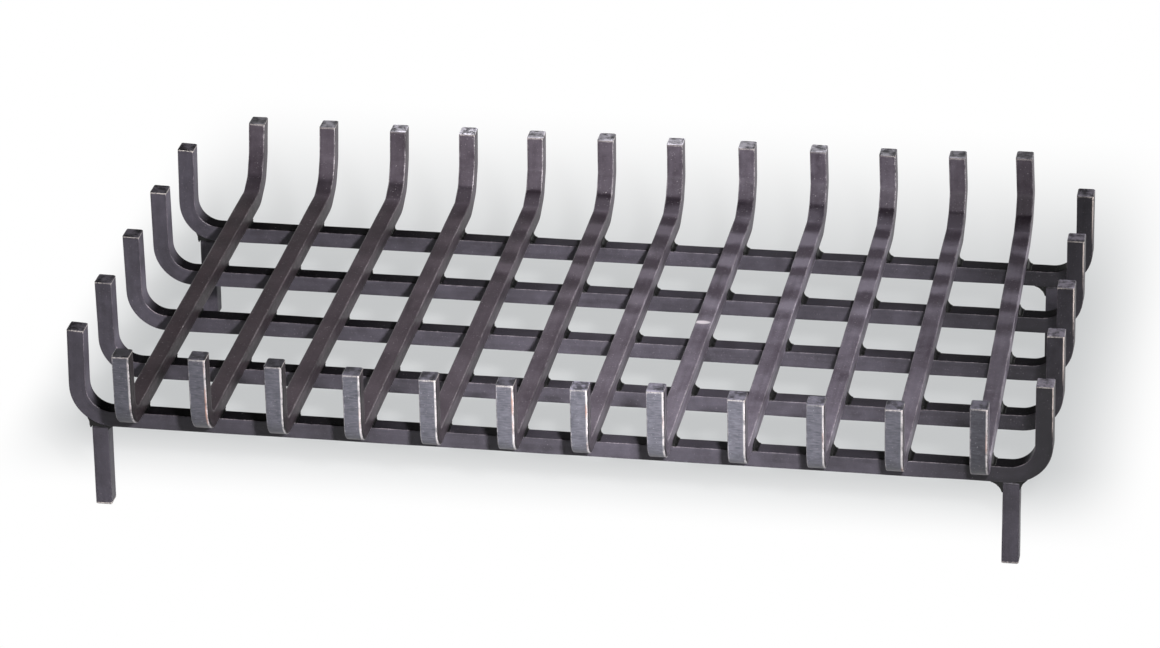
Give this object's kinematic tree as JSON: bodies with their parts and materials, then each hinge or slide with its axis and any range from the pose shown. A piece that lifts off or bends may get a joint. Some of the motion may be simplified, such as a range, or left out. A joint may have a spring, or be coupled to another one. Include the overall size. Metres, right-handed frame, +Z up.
{
  "type": "log grate",
  "caption": "Free-standing fireplace log grate welded from square steel bar, with bars bent up into tines on all four sides and short straight legs.",
  "frame": {"origin": "on the hearth, below the middle of the overall width and depth", "axes": "+X to the right along the cross bars, +Y from the front to the rear along the fire bars, +Z up"},
  "size_m": [0.968, 0.558, 0.196],
  "materials": {
    "fire_bar_steel": "hot-rolled square bar, blackened, satin, worn lighter along its edges",
    "cross_bar_steel": "hot-rolled square bar, blackened, satin",
    "leg_steel": "hot-rolled square bar, blackened, satin, square cut at the foot",
    "weld_metal": "rippled arc weld bead, blackened, a little glossier than the bar"
  },
  "bodies": {
    "root": {"fire_bar_01": "fire_bar_steel", "fire_bar_02": "fire_bar_steel", "fire_bar_03": "fire_bar_steel", "fire_bar_04": "fire_bar_steel", "fire_bar_05": "fire_bar_steel", "fire_bar_06": "fire_bar_steel", "fire_bar_07": "fire_bar_steel", "fire_bar_08": "fire_bar_steel", "fire_bar_09": "fire_bar_steel", "fire_bar_10": "fire_bar_steel", "fire_bar_11": "fire_bar_steel", "fire_bar_12": "fire_bar_steel", "cross_bar_1_front": "cross_bar_steel", "cross_bar_2": "cross_bar_steel", "cross_bar_3": "cross_bar_steel", "cross_bar_4": "cross_bar_steel", "cross_bar_5_rear": "cross_bar_steel", "leg_front_left": "leg_steel", "leg_front_right": "leg_steel", "leg_rear_left": "leg_steel", "leg_rear_right": "leg_steel", "crossing_welds_1": "weld_metal", "crossing_welds_2": "weld_metal", "crossing_welds_3": "weld_metal", "crossing_welds_4": "weld_metal", "crossing_welds_5": "weld_metal", "leg_weld_front_left": "weld_metal", "leg_weld_front_right": "weld_metal", "leg_weld_rear_left": "weld_metal", "leg_weld_rear_right": "weld_metal"}
  },
  "joints": []
}
